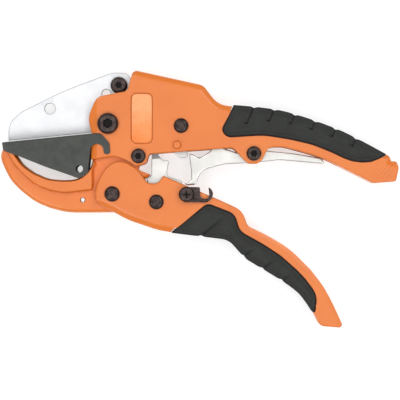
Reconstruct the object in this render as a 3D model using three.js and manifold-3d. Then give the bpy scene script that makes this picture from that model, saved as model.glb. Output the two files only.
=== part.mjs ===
// Ratcheting pipe cutter, lying on its far side, in millimetres.
// Design frame: X along the jaws and handles, Y up across them, Z through the tool's thickness.
// The main pivot is the design origin and Z = 0 is the blade's middle plane. The finished group
// is shifted so that its origin is the middle of the bounding box's bottom face.
import * as THREE from 'three';
import { mergeVertices } from 'three/addons/utils/BufferGeometryUtils.js';
import Module from 'manifold-3d';

const wasm = await Module();
wasm.setup();

// ---------------------------------------------------------------- driving dimensions

const gap = 0.3;               // clearance between neighbouring pieces
const arcStep = Math.PI / 10;  // largest turn between two points of a rounded corner
const far = 40;                // a cut that runs right out of the tool reaches this far

// Half thicknesses, measured from the blade's middle plane.
const bladeHalf = 1.3;
const cavityHalf = 6.3;        // inside faces of the housing's and the lower handle's cheeks
const webHalf = cavityHalf - gap;
const bodyHalf = 10;           // outside of the housing and of the jaw's raised pad
const handleHalf = 10.3;       // outside of the lower handle's cheeks
const gripHalf = 11.5;         // grips: the tool rests on their far faces
const coreHalf = 8;            // handle castings where the grips wrap them
const sheet = 1;               // thickness of the flat anvil's folded sheet
const anvilHalf = bodyHalf + gap + sheet;

// The far half of the cavity holds the ratchet, and the near half the lug and the springs.
const carrierTop = -(bladeHalf + gap);
const carrierFloor = carrierTop - 1.5;
const toothTop = -2.4;
const toothFloor = -5.6;
const toeTop = -3.4;           // near face of both pawls' toes, clear of the carrier's arm
const pawlTop = 1.2;           // near face of the pawls' thick bodies
const lugFloor = bladeHalf + gap;

// Axes of the pivots and fasteners in the design frame.
const mainPivot = [0, 0];
const bladeScrewAt = [6.8, 25.4];
const holdingPivot = [47.6, -1.4];
const jawScrewAt = [19.8, -21.1];
const handlePivot = [2.8, -45.8];
const drivePivot = [31.5, -51];
const latchPivot = [51.1, -46.1];
const triggerPivot = [94.9, -19.5];
const latchBossAt = [44.9, -13.9];
const jawPinAt = [-16.6, -49.7];

// Shaft radii: M8 main bolt, M6 blade screw, M5 for everything else.
const mainShaft = 4;
const sleeveRadius = 5.2;
const bladeShaft = 3;
const smallShaft = 2.5;
const headRise = 2.5;          // height of a domed rivet head
const nearSeat = bodyHalf + gap;
const handleSeat = handleHalf + gap;
const latchFloor = handleSeat;
const latchTop = latchFloor + 2.2;
const triggerHalf = 4.5;

// Round features: [x, y, radius] of the plain holes, and the boss that the latch hooks over.
const anvilHole = [-18.6, -29.4, 2.45];
const bladeHoles = [[-38.3, 10.1, 3.4], [-1.5, 19.9, 2.75]];
const jawPinHole = 1.8;
const latchBossRadius = 2.35;
const mainNutCorners = 14.8;   // across the main nut's corners
const mainNutDepth = 3.4;
const labelRecess = 1.2;
const pivotDisc = 10.8;        // the lug's disc about the main pivot
const jawScrewBoss = 6.2;
const springPocket = 6;
const sectorHub = 11;          // the ratchet sector's hub, and its boss at the blade screw
const sectorBoss = 5.2;
const sectorRoot = 9;          // the toothed arm starts inside the hub at this radius
const triggerGap = 0.4;        // clearance on each side of the trigger in its channel

// Cutting edge: both faces slope over this width down to this half thickness.
const grindWidth = 9.5;
const edgeHalf = 0.25;

// Ratchet: teeth on an arc about the main pivot, steep faces looking clockwise.
const toothRadius = 25.4;
const toothDepth = 2;
const toothPitch = 6;          // degrees
const toothCount = 15;
const firstTooth = -10;        // degrees from +X

// ---------------------------------------------------------------- outlines
// A corner is [x, y, radius]: neighbouring corners are joined by straight lines, and each
// corner is rounded by an arc of its radius. All outlines run counter-clockwise.

const housingCorners = [
  [-10.7, -6.2, 14], [-11.4, -14.6, 6.5], [-11.4, -23.5, 0.7], [-5.1, -22.8, 13],
  [5.9, -20.5, 19.5], [18.6, -28.1, 3.2], [25.4, -26, 3.9], [26.6, -20, 2],
  [81.3, -15.9, 5.2], [90.4, -26.1, 5.9], [99.2, -26.1, 5.2], [104.4, -15.7, 5.2],
  [113.2, -15, 24], [139.2, -22.2, 90], [172.8, -38.9, 4], [187.5, -37.8, 2],
  [189.4, -28.6, 3.9], [187.8, -24.2, 2], [184.5, -24.4, 1], [183, -20.8, 2.6],
  [179.9, -19.3, 1.3], [151.5, -4.2, 150], [113.2, 8.9, 120], [71.9, 12.3, 14],
  [62.1, 25.2, 8], [16.3, 35.2, 3.2], [12.4, 21.4, 2.3], [-7.4, 17.6, 8],
  [-13.5, 3.9, 14.3],
];
const housingCavityCorners = [
  [-far, -far], [103, -far], [103, -12.6, 4], [84, -9.5, 6], [76, 6, 6], [60, 22.3, 6],
  [20, 31], [20, far + 10], [-far, far + 10],
];
const triggerChannelCorners = [
  [100, -far], [150, -far], [150, -24], [142, -18.3, 3], [125, -14.2, 20], [105, -11.6, 3],
  [100, -11.6],
];
const upperGripCorners = [
  [81.8, 12.2, 0.8], [73.9, -4.1, 4], [77.1, -9, 5.9], [101.5, -7.5, 45.5],
  [132.7, -12.7, 97.5], [158.7, -24.9, 28], [171.3, -25.4, 18], [181.3, -20, 0.7],
  [151.5, -4, 150], [113.2, 9.3, 120],
];
const upperCoreCorners = [
  [60, -40], [178, -40], [177.5, -21.9], [151.5, -7.3, 140], [113.2, 5.9, 110], [79.9, 9], [60, 11],
];
const jawCorners = [
  [-67.9, -13.7, 1.3], [-70.78, -22.4, 10], [-64, -37.7, 33], [-47.4, -52, 45],
  [-28.5, -58.2, 58], [2.7, -58, 6.5], [12.4, -58.2, 10.4], [17, -47.1, 6.5],
  [18.9, -37.4, 2], [18.9, -25.7, 3.2], [11.8, -19.2, 5.2], [6.6, -13.3, 3.9],
  [-6.4, -13.1, 3.2], [-10.6, -15.6, 2.6], [-10, -27.6, 13], [-18.8, -36.5, 15.6],
  [-39.6, -36.5, 33], [-55.8, -27.3, 28], [-61, -18.5, 8],
];
// The raised pad of the jaw: everything on the pipe's side of this step line.
const padCorners = [
  [-72, -17.9], [-66.6, -17.9, 2], [-61.7, -27.3, 33], [-47.4, -41.3, 33],
  [-29.8, -46.1, 29], [-18.1, -44.5, 13], [-10, -43.7, 0.7], [-9.3, -40.6, 2.6],
  [-9.3, -29.2, 6.5], [-5.4, -23.9, 2], [-20, -23.9], [-20, -10], [-72, -10],
];
const lugCorners = [
  [-10.8, 0], [-10.8, -16], [2, -30], [16.5, -38], [25.4, -35.6, 1], [28.2, -33.2, 0.4],
  [19, -29.6, 1.5], [24.5, -24.5], [25, -17], [9, 6],
];
const anvilCorners = [
  [-68.8, -12.2, 0.5], [-68.1, -17.7, 2], [-59.7, -20.6, 13], [-40.9, -28.1, 19.5],
  [-24.6, -33.7, 6.5], [-18.5, -36.1, 4.5], [-12.9, -31.5, 3.9], [-12, -22.4, 13],
  [-11, -15.1, 2.6], [-6.8, -12.4, 3.9], [-3.1, -15.3, 3.2], [-2.5, -20, 1.8],
  [1.6, -20, 1.8], [1.2, -12.7, 5.2], [-4.5, -6.4, 3.9], [-9.4, -6.3, 0.7],
];
// The fold that joins the anvil's two cheeks along their long upper edge.
const anvilTopCorners = [
  [-68.8, -12.2, 0.5], [-68.7, -13.6], [-12.5, -8], [-12.4, -6.7, 0.4],
];
const bladeCorners = [
  [-65.6, -10.9], [-11, -5.5], [-6.4, -9.1, 2], [5.3, -9.8, 7.8], [10.5, -0.3, 7.8],
  [11.8, 12, 5.2], [15, 29.6, 3.2], [12.4, 33.1, 3.2], [3.3, 34.1, 19.5],
  [-31.1, 20.8], [-56.5, 8.5, 19.5], [-64, 2, 7.8], [-65.6, -4.9, 2],
];
const carrierArmCorners = [[-10.2, 4], [10.8, -2], [12.1, 26], [1.8, 27.2]];
const handleCorners = [
  [-8.3, -49.4, 5.2], [-5.8, -53, 5.2], [2.7, -57.2, 5.2], [12.4, -62.7, 55],
  [33.9, -70, 60], [78.4, -75.6, 12], [89.1, -87.6, 20], [112.5, -102, 45.5],
  [125.5, -111.2, 40], [134, -123.2, 38], [137.5, -131.8, 5.2], [153.7, -133.1, 2],
  [140.8, -105.3, 88], [119, -80.1, 88], [90.9, -66.5, 6], [87.5, -56.4, 12],
  [71.6, -49.1, 39], [35.8, -33.7, 1.4], [32.6, -38.8, 4.5], [25.7, -38.7, 3.9],
  [18.6, -28.6, 20], [6.6, -22.8, 10.4], [-2.5, -29.4, 18], [-8.3, -41.3, 15],
];
const handleCavityCorners = [
  [-20, -80], [13.5, -80], [17, -60.5, 3], [34, -65.8, 10], [60, -66.8, 20], [97, -70.8],
  [97, -30], [-20, -15],
];
const lowerGripCorners = [
  [40.4, -71.1, 0.7], [64.7, -51.9, 5], [82.5, -58.8, 8], [85.5, -69.9, 10],
  [112.5, -85, 97.5], [128.8, -101.4, 60], [136.2, -112.1, 13], [134.1, -124.4, 1],
  [125.5, -111, 40], [112.5, -101.9, 45.5], [89.1, -87.8, 20], [78.4, -75.7, 12],
].reverse();
const lowerCoreCorners = [
  [44, -67.7], [79.7, -72.8, 6.5], [90.9, -85.5, 7.8], [114.1, -99.3, 45],
  [127.5, -108.8, 32], [138, -123], [150, -100], [150, -40], [44, -40],
];
const drivePawlCorners = [
  [28.1, -6, 1], [28.1, -34.1, 2], [24.6, -35, 1], [25.7, -39.3, 3.9], [25.1, -49.7, 5.9],
  [28, -57.5, 5.9], [37.8, -56.9, 5.9], [39.1, -47.1, 5.2], [47.8, -40.6, 1.3],
  [48.2, -37.1, 1], [37.8, -33.9, 3.9], [39.7, -23.1, 1], [35.8, -24.3, 2.6],
  [32.4, -19.8, 2], [33.2, -12, 4], [32.3, 1.2, 2], [28.3, 1.4, 0.8], [26.2, -0.9, 0.3],
];
const driveBodyTop = -23;      // the drive pawl is a thin toe above this height
const holdingPawlCorners = [
  [19.7, 17.2, 0.3], [24.5, 16.2, 2], [35.5, 16, 5], [40.8, 4, 6], [41.4, -7, 5],
  [43.6, -13, 4], [42.9, -19.2, 1], [47, -22.3, 3], [51.7, -21.8, 1], [51.7, -8, 2],
  [55, -6.2, 2], [64.8, -5.6, 0.8], [64.8, -2, 0.8], [54.5, -2, 3], [54, 6, 5],
  [44.5, 20.5, 6], [24, 21.6, 3],
];
const holdingBodyTop = 12;     // and the holding pawl above this one
const triggerCorners = [
  [52.5, -19.2, 0.7], [54.1, -30.9, 5.2], [54, -37.4, 2.6], [50.8, -38.8, 1],
  [48.7, -38.7, 0.3], [51.7, -40.2, 1], [57.4, -39.7, 2.6], [60.2, -30.6, 9.1],
  [75.5, -26.2, 32.5], [95, -25.4, 19.5], [111.9, -23.5, 19.5], [141.5, -26.1, 0.8],
  [139.2, -22.2, 2.6], [122.3, -19.4, 19.5], [104.1, -17.6, 3.2], [97.6, -14.6, 3.2],
  [91.1, -14.6, 5.2], [85.9, -19.2, 5.2], [76.8, -16.4, 6], [73.6, -14, 3],
  [72.4, 4, 2], [62, 4, 1], [62, -1.3, 0.5], [66.8, -1.3, 1], [67, -17.5, 3],
  [59.5, -22.6, 3.9], [55.3, -19.8, 2.6],
];
const latchCorners = [
  [46.1, -51.2, 4.9], [65.4, -51.4, 5.2], [69.9, -44.9, 4.5], [65.2, -41, 0.4],
  [66, -47.8, 2.6], [62.9, -49.5, 2.6], [60, -47.8, 2.6], [59.9, -41.3, 1],
  [46.1, -41, 4.9],
];
const labelCorners = [[15, -13, 3.9], [29, -13, 3.9], [29, 19.8, 3.9], [15, 19.8, 3.9]];

// ---------------------------------------------------------------- materials

const paint = () => new THREE.MeshStandardMaterial({ color: 0xf2853f, roughness: 0.55 });
const blackRubber = () => new THREE.MeshStandardMaterial({ color: 0x3c3e3c, roughness: 0.8 });
const blackSteel = () =>
  new THREE.MeshStandardMaterial({ color: 0x2b2a2b, roughness: 0.4, metalness: 0.8 });
const brightSteel = () =>
  new THREE.MeshStandardMaterial({ color: 0xd5d6d8, roughness: 0.3, metalness: 0.9 });
const plainSteel = () =>
  new THREE.MeshStandardMaterial({ color: 0xa9abac, roughness: 0.4, metalness: 0.9 });
const darkSheet = () =>
  new THREE.MeshStandardMaterial({ color: 0x3b3c3b, roughness: 0.6, metalness: 0.4 });
const paleLabel = () => new THREE.MeshStandardMaterial({ color: 0xf5994f, roughness: 0.25 });

// ---------------------------------------------------------------- solids

const direction = (a, b) => new THREE.Vector2(b[0] - a[0], b[1] - a[1]).normalize();

// The outline pushed outwards by `grow`, as sharp corners with their new radii.
function grown(corners, grow) {
  return corners.map((corner, i) => {
    const before = direction(corners.at(i - 1), corner);
    const after = direction(corner, corners[(i + 1) % corners.length]);
    const outward = new THREE.Vector2(before.y + after.y, -before.x - after.x);
    outward.multiplyScalar(grow / (1 + before.dot(after)));
    const convex = before.cross(after) > 0;
    const radius = Math.max(0, (corner[2] ?? 0) + (convex ? grow : -grow));
    return [corner[0] + outward.x, corner[1] + outward.y, corner[2] ? radius : 0];
  });
}

// The outline's points: an arc tangent to both sides replaces each rounded corner.
function roundedPoints(corners) {
  return corners.flatMap((corner, i) => {
    const here = new THREE.Vector2(corner[0], corner[1]);
    const radius = corner[2] ?? 0;
    if (radius === 0) return [here];
    const back = direction(corner, corners.at(i - 1));
    const ahead = direction(corner, corners[(i + 1) % corners.length]);
    const half = Math.acos(back.dot(ahead)) / 2;
    const bisector = back.clone().add(ahead).normalize();
    const centre = here.clone().addScaledVector(bisector, radius / Math.sin(half));
    const start = here.clone().addScaledVector(back, radius / Math.tan(half)).sub(centre);
    const turn = (Math.PI - 2 * half) * Math.sign(ahead.cross(back));
    const steps = Math.max(2, Math.ceil(Math.abs(turn) / arcStep));
    const points = [];
    for (let k = 0; k <= steps; k += 1) {
      const arm = start.clone().rotateAround(new THREE.Vector2(), (turn * k) / steps);
      points.push(arm.add(centre));
    }
    return points;
  });
}

// A closed three.js geometry as a solid that can be cut and joined.
function solid(geometry) {
  geometry.deleteAttribute('normal');
  geometry.deleteAttribute('uv');
  const merged = mergeVertices(geometry, 1e-4);
  return new wasm.Manifold(new wasm.Mesh({
    numProp: 3,
    vertProperties: new Float32Array(merged.attributes.position.array),
    triVerts: new Uint32Array(merged.index.array),
  }));
}

// An outline given thickness from Z = low to Z = high.
function plate(corners, low, high, grow = 0) {
  const shape = new THREE.Shape(roundedPoints(grow === 0 ? corners : grown(corners, grow)));
  const geometry = new THREE.ExtrudeGeometry(shape, { depth: high - low, bevelEnabled: false });
  return solid(geometry.translate(0, 0, low));
}

// A round bar along Z.
function bar([x, y], radius, low, high, sides = 20) {
  const geometry = new THREE.CylinderGeometry(radius, radius, high - low, sides);
  geometry.rotateX(Math.PI / 2);
  return solid(geometry.translate(x, y, (low + high) / 2));
}

// A cut for a plain hole that goes right through.
const hole = ([x, y, radius]) => bar([x, y], radius, -far, far);

// A solid of revolution about a line along Z, from a profile of [radius, height] points.
function turned([x, y], base, profile, sides = 20) {
  const points = profile.map(([radius, height]) => new THREE.Vector2(radius, height));
  const geometry = new THREE.LatheGeometry(points, sides);
  geometry.rotateX(Math.PI / 2);
  return solid(geometry.translate(x, y, base));
}

// A low dome: a short rim, then an elliptical crown.
function dome(radius, rim, rise) {
  const profile = [[0, 0], [radius, 0]];
  for (let k = 0; k <= 4; k += 1) {
    const angle = (Math.PI / 2) * (k / 4);
    const height = rim + (rise - rim) * Math.sin(angle);
    profile.push([k === 4 ? 0 : radius * Math.cos(angle), height]);
  }
  return profile;
}

// A button-head screw: domed rim, flat top, hexagon socket and a plain shank.
function buttonScrew(at, headRadius, headHeight, seat, shank, end) {
  const profile = [[0, 0], [headRadius, 0], [headRadius, 0.25 * headHeight]];
  for (const [across, up] of [[0.95, 0.5], [0.84, 0.76], [0.68, 0.93], [0.52, 1], [0, 1]]) {
    profile.push([across * headRadius, up * headHeight]);
  }
  return turned(at, seat, profile)
    .subtract(bar(at, 0.42 * headRadius, seat + 0.35 * headHeight, far, 6))
    .add(bar(at, shank, end, seat + 0.1));
}

// A rivet: domed near head, shank and flat far head.
function rivet(at, headRadius, seat, shank, farSeat) {
  return turned(at, seat, dome(headRadius, 0.6, headRise))
    .add(bar(at, shank, -farSeat - 0.1, seat + 0.1))
    .add(bar(at, headRadius, -gripHalf, -farSeat));
}

// A hexagon nut on the far side, its outer face level with the grips.
function nut(at, acrossCorners, bore, depth) {
  return bar(at, acrossCorners / 2, -gripHalf + 0.1, -gripHalf + 0.1 + depth, 6)
    .subtract(bar(at, bore, -far, far));
}

// A torsion spring: a coil about a line along Z with two straight legs.
function torsionSpring([x, y], { radius, wire, low, high, turns, from, legs }) {
  const points = [];
  const coilSteps = Math.round(turns * 12);
  const place = (angle, reach, height) =>
    new THREE.Vector3(x + reach * Math.cos(angle), y + reach * Math.sin(angle), height);
  const start = place(from, radius, low);
  const startLeg = new THREE.Vector3(Math.sin(from), -Math.cos(from), 0);
  points.push(start.clone().addScaledVector(startLeg, legs[0]));
  for (let k = 0; k <= coilSteps; k += 1) {
    const share = k / coilSteps;
    points.push(place(from + turns * 2 * Math.PI * share, radius, low + (high - low) * share));
  }
  const last = from + turns * 2 * Math.PI;
  const endLeg = new THREE.Vector3(-Math.sin(last), Math.cos(last), 0);
  points.push(points.at(-1).clone().addScaledVector(endLeg, legs[1]));
  const path = new THREE.CatmullRomCurve3(points, false, 'centripetal');
  const section = new THREE.Shape().absarc(0, 0, wire, 0, 2 * Math.PI);
  const geometry = new THREE.ExtrudeGeometry(section, {
    extrudePath: path, steps: coilSteps + 6, curveSegments: 3, bevelEnabled: false,
  });
  return solid(geometry);
}

// ---------------------------------------------------------------- frame: housing and jaw

function upperBody() {
  const seatOfGrip = plate(upperGripCorners, -far, far, gap)
    .subtract(plate(upperCoreCorners, -coreHalf, coreHalf));
  return plate(housingCorners, -bodyHalf, bodyHalf)
    .add(bar(latchBossAt, latchBossRadius, bodyHalf - 1, latchTop + 0.4))
    .subtract(seatOfGrip)
    .subtract(plate(housingCavityCorners, -cavityHalf, cavityHalf))
    .subtract(plate(triggerChannelCorners, -triggerHalf - triggerGap, triggerHalf + triggerGap))
    .subtract(plate(labelCorners, bodyHalf - labelRecess, far))
    .subtract(bar(mainPivot, mainShaft + gap, -far, far))
    .subtract(bar(mainPivot, mainNutCorners / 2 + 0.6, -far, -gripHalf + mainNutDepth + 0.4, 6))
    .subtract(bar(jawScrewAt, smallShaft + gap, -far, far))
    .subtract(bar(holdingPivot, smallShaft + gap, -far, far))
    .subtract(bar(triggerPivot, smallShaft + gap, -far, far));
}

function upperGrip() {
  return plate(upperGripCorners, -gripHalf, gripHalf)
    .subtract(plate(upperCoreCorners, -coreHalf - gap, coreHalf + gap, gap));
}

function lowerJaw() {
  const raisedPad = plate(jawCorners, -bodyHalf, bodyHalf)
    .intersect(plate(padCorners, -bodyHalf, bodyHalf));
  return plate(jawCorners, -webHalf, webHalf)
    .add(raisedPad)
    .add(plate(lugCorners, lugFloor, webHalf))
    .add(bar(mainPivot, pivotDisc, lugFloor, webHalf, 32))
    .add(bar(jawScrewAt, jawScrewBoss, lugFloor, webHalf))
    .subtract(bar(mainPivot, sleeveRadius + gap, -far, far))
    .subtract(bar(jawScrewAt, smallShaft + gap, -far, far))
    .subtract(bar(handlePivot, smallShaft + gap, -far, far))
    .subtract(bar(handlePivot, springPocket, lugFloor, far))
    .subtract(bar(jawPinAt, jawPinHole, -far, far, 16));
}

function flatAnvil() {
  return plate(anvilCorners, -anvilHalf, anvilHalf)
    .subtract(plate(anvilCorners, -anvilHalf + sheet, anvilHalf - sheet, 2))
    .add(plate(anvilTopCorners, -anvilHalf, anvilHalf))
    .subtract(hole(anvilHole));
}

// ---------------------------------------------------------------- blade and ratchet

// The blade: a flat plate whose cutting edge, its first side, is ground to a blunt wedge.
function blade() {
  const [tip, heel] = bladeCorners;
  const edgeAngle = Math.atan2(heel[1] - tip[1], heel[0] - tip[0]);
  const slope = Math.atan2(bladeHalf - edgeHalf, grindWidth);
  const wedge = (side) => {
    const geometry = new THREE.BoxGeometry(90, grindWidth + 1.5, 4);
    geometry.translate(10, -(grindWidth + 1.5) / 2, 2 * side);
    geometry.rotateX(side * slope);
    geometry.translate(0, grindWidth, side * bladeHalf);
    geometry.rotateZ(edgeAngle);
    return solid(geometry.translate(tip[0], tip[1], 0));
  };
  return plate(bladeCorners, -bladeHalf, bladeHalf)
    .subtract(wedge(1))
    .subtract(wedge(-1))
    .subtract(bar(mainPivot, sleeveRadius + gap, -far, far))
    .subtract(bar(bladeScrewAt, bladeShaft + gap, -far, far))
    .subtract(hole(bladeHoles[0]))
    .subtract(hole(bladeHoles[1]));
}

// Toothed sector outline: each tooth jumps out on its clockwise side and slopes back in.
function sectorPoints() {
  const points = [];
  const polar = (degrees, radius) => {
    const angle = THREE.MathUtils.degToRad(degrees);
    return [radius * Math.cos(angle), radius * Math.sin(angle)];
  };
  for (let k = 0; k < toothCount; k += 1) {
    const angle = firstTooth + k * toothPitch;
    points.push(polar(angle, toothRadius - toothDepth));
    points.push(polar(angle + 0.6, toothRadius));
    points.push(polar(angle + 1.8, toothRadius));
  }
  points.push(polar(firstTooth + toothCount * toothPitch, toothRadius - toothDepth));
  points.push(polar(firstTooth + toothCount * toothPitch + 6, sectorRoot));
  points.push(polar(firstTooth - 6, sectorRoot));
  return points;
}

function ratchetSector() {
  return plate(sectorPoints(), toothFloor, toothTop)
    .add(bar(mainPivot, sectorHub, toothFloor, carrierTop, 32))
    .add(plate(carrierArmCorners, carrierFloor, carrierTop))
    .add(bar(bladeScrewAt, sectorBoss, carrierFloor, carrierTop))
    .subtract(bar(mainPivot, sleeveRadius + gap, -far, far))
    .subtract(bar(bladeScrewAt, bladeShaft + gap, -far, far));
}

// A pawl: a thin toe in the ratchet's plane and a thicker body below the height `top`.
function pawl(corners, top, pivot) {
  const body = plate([[0, -far * 2], [80, -far * 2], [80, top], [0, top]], toothFloor, pawlTop);
  return plate(corners, toothFloor, toeTop)
    .add(plate(corners, toothFloor, pawlTop).intersect(body))
    .subtract(bar(pivot, smallShaft + gap, -far, far));
}

// ---------------------------------------------------------------- lower handle and latch

function lowerHandle() {
  const seatOfGrip = plate(lowerGripCorners, -far, far, gap)
    .subtract(plate(lowerCoreCorners, -coreHalf, coreHalf));
  return plate(handleCorners, -handleHalf, handleHalf)
    .subtract(seatOfGrip)
    .subtract(plate(handleCavityCorners, -cavityHalf, cavityHalf))
    .subtract(bar(handlePivot, smallShaft + gap, -far, far))
    .subtract(bar(drivePivot, smallShaft + gap, -far, far))
    .subtract(bar(latchPivot, smallShaft + gap, 0, far));
}

function lowerGrip() {
  return plate(lowerGripCorners, -gripHalf, gripHalf)
    .subtract(plate(lowerCoreCorners, -coreHalf - gap, coreHalf + gap, gap));
}

function latchHook() {
  return plate(latchCorners, latchFloor, latchTop)
    .subtract(bar(latchPivot, smallShaft + gap, -far, far));
}

function trigger() {
  return plate(triggerCorners, -triggerHalf, triggerHalf)
    .subtract(bar(triggerPivot, smallShaft + gap, -far, far));
}

// ---------------------------------------------------------------- assembly

const tool = new THREE.Group();

function piece(name, body, material) {
  const { vertProperties, triVerts } = body.getMesh();
  const geometry = new THREE.BufferGeometry();
  geometry.setAttribute('position', new THREE.BufferAttribute(vertProperties, 3));
  geometry.setIndex(new THREE.BufferAttribute(triVerts, 1));
  const mesh = new THREE.Mesh(geometry, material);
  mesh.name = name;
  tool.add(mesh);
}

const coil = { radius: 3.7, wire: 0.45, low: 2.2, high: 5.3, turns: 2.75 };

// Fixed frame.
piece('upper_body', upperBody(), paint());
piece('upper_grip', upperGrip(), blackRubber());
piece('label_plate', plate(labelCorners, bodyHalf - 0.9, bodyHalf - 0.3, -0.5), paleLabel());
piece('lower_jaw', lowerJaw(), paint());
piece('flat_anvil', flatAnvil(), darkSheet());
piece('jaw_pin', bar(jawPinAt, 1.5, -webHalf + 0.5, webHalf - 0.5, 16), brightSteel());
piece('pivot_bolt', buttonScrew(mainPivot, 6.9, 4.2, nearSeat, mainShaft, -10.2), blackSteel());
piece('pivot_nut', nut(mainPivot, mainNutCorners, mainShaft + gap, mainNutDepth), blackSteel());
piece('pivot_sleeve', bar(mainPivot, sleeveRadius, -webHalf, webHalf)
  .subtract(bar(mainPivot, mainShaft + gap, -far, far)), plainSteel());
piece('jaw_screw', buttonScrew(jawScrewAt, 4.8, 2.8, nearSeat, smallShaft, -10.2), blackSteel());
piece('holding_pawl_rivet', rivet(holdingPivot, 4.8, nearSeat, smallShaft, nearSeat), blackSteel());
piece('trigger_screw', buttonScrew(triggerPivot, 4.8, 2.8, nearSeat, smallShaft, -10.2),
  blackSteel());
piece('handle_pivot_rivet', rivet(handlePivot, 5, handleSeat, smallShaft, handleSeat), blackSteel());
piece('holding_pawl_spring', torsionSpring(holdingPivot,
  { ...coil, from: 0.6 * Math.PI, legs: [5, 6] }), plainSteel());
piece('trigger_spring', torsionSpring(triggerPivot,
  { ...coil, wire: 0.3, low: 5.1, high: 5.8, turns: 1, from: 0.5 * Math.PI, legs: [3, 4] }),
plainSteel());
piece('handle_spring', torsionSpring(handlePivot,
  { ...coil, from: 0, legs: [1.5, 1.5] }), plainSteel());

// Blade unit, turning on the main pivot.
piece('blade', blade(), brightSteel());
piece('ratchet_sector', ratchetSector(), plainSteel());
piece('blade_screw', buttonScrew(bladeScrewAt, 5.5, 3.2, lugFloor, bladeShaft, carrierFloor + 0.1),
  blackSteel());

// Lower handle unit.
piece('lower_handle', lowerHandle(), paint());
piece('lower_grip', lowerGrip(), blackRubber());
piece('drive_pawl_rivet', rivet(drivePivot, 4.8, handleSeat, smallShaft, handleSeat), blackSteel());
piece('latch_screw', buttonScrew(latchPivot, 5, 2.4, latchTop + gap, smallShaft, 6.8), blackSteel());
piece('drive_pawl_spring', torsionSpring(drivePivot,
  { ...coil, from: 0.4 * Math.PI, legs: [6, 7] }), plainSteel());

// Pieces that turn by themselves.
piece('drive_pawl', pawl(drivePawlCorners, driveBodyTop, drivePivot), brightSteel());
piece('holding_pawl', pawl(holdingPawlCorners, holdingBodyTop, holdingPivot), brightSteel());
piece('trigger', trigger(), brightSteel());
piece('latch_hook', latchHook(), blackSteel());

const box = new THREE.Box3().setFromObject(tool);
const middle = box.getCenter(new THREE.Vector3());
tool.position.set(-middle.x, -middle.y, -box.min.z);

export default tool;
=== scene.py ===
import math

import bpy
import numpy as np
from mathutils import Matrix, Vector
from mathutils.geometry import delaunay_2d_cdt


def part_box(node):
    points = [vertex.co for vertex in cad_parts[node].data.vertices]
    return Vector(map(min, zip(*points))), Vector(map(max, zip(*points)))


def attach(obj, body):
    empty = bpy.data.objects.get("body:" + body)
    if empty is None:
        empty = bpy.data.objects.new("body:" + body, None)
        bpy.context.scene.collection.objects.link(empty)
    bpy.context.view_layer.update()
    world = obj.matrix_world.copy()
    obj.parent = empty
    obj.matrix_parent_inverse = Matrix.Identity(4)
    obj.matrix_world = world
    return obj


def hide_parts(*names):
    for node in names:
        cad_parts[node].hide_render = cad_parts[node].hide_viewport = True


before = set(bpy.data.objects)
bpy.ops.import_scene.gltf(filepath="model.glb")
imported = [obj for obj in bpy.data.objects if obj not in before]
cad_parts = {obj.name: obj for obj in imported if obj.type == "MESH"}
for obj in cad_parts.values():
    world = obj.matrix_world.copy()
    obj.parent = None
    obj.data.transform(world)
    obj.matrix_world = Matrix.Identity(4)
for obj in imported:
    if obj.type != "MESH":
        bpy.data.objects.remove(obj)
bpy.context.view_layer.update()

# Ratcheting pipe cutter lying on its far side. Lengths here are in millimetres in the row frame,
# and new_piece() turns them into metres. A face is worked out as depths below the CAD's own faces.

MM = 0.001
EDGE_STEP = 0.7        # between two points along a casting's or grip's outline
PLATE_STEP = 0.6       # between two points along a plate's outline
FACE_STEP = 1.6        # between two points of a face's open field
INSET = 0.14           # the castings' refined walls lie this far inside the CAD's
CUT_SPREAD = 0.8       # outer walls of a CAD cutter are moved out by this
SHARP_TURN = math.radians(32)
SMOOTH_ANGLE = 38      # in degrees: edges sharper than this are shaded sharp
WALL_LEVELS = (0.25, 0.42, 0.47, 0.5, 0.53, 0.58, 0.75)     # of a seamed wall's height, near face first


def centre(node):
    """Middle of a CAD node's box, in millimetres."""
    low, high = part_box(node)
    return np.array((low + high) / 2) / MM


def heights(node):
    """Lowest and highest level of a CAD node, in millimetres."""
    low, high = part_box(node)
    return low.z / MM, high.z / MM


PIVOT = centre("pivot_bolt")[:2]
MIDDLE = centre("blade")[2]                       # level of the blade's middle plane
BODY_LOW, BODY_TOP = heights("lower_jaw")
HANDLE_LOW, HANDLE_TOP = heights("lower_handle")
GRIP_LOW, GRIP_TOP = heights("upper_grip")
CHEEK_LEVEL = MIDDLE + 7                          # where the outlines of housing and handle are taken
GRIP_LEVEL = MIDDLE + 10                          # where the grips' outlines are taken


def at(x, y):
    """A point given from the main pivot, X along the tool and Y across it."""
    return PIVOT + np.array([x, y], float)


# ---------------------------------------------------------------- outlines from the CAD

def mesh_points(mesh):
    """A mesh's points, in millimetres."""
    points = np.zeros(len(mesh.vertices) * 3, np.float32)
    mesh.vertices.foreach_get("co", points)
    return points.reshape(-1, 3).astype(float) / MM


def mesh_triangles(mesh):
    """A mesh's triangles, as rows of three point numbers."""
    mesh.calc_loop_triangles()
    corners = np.zeros(len(mesh.loop_triangles) * 3, np.int32)
    mesh.loop_triangles.foreach_get("vertices", corners)
    return corners.reshape(-1, 3)


def cad_arrays(node):
    """Points and triangles of a CAD node."""
    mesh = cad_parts[node].data
    return mesh_points(mesh), mesh_triangles(mesh)


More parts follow.
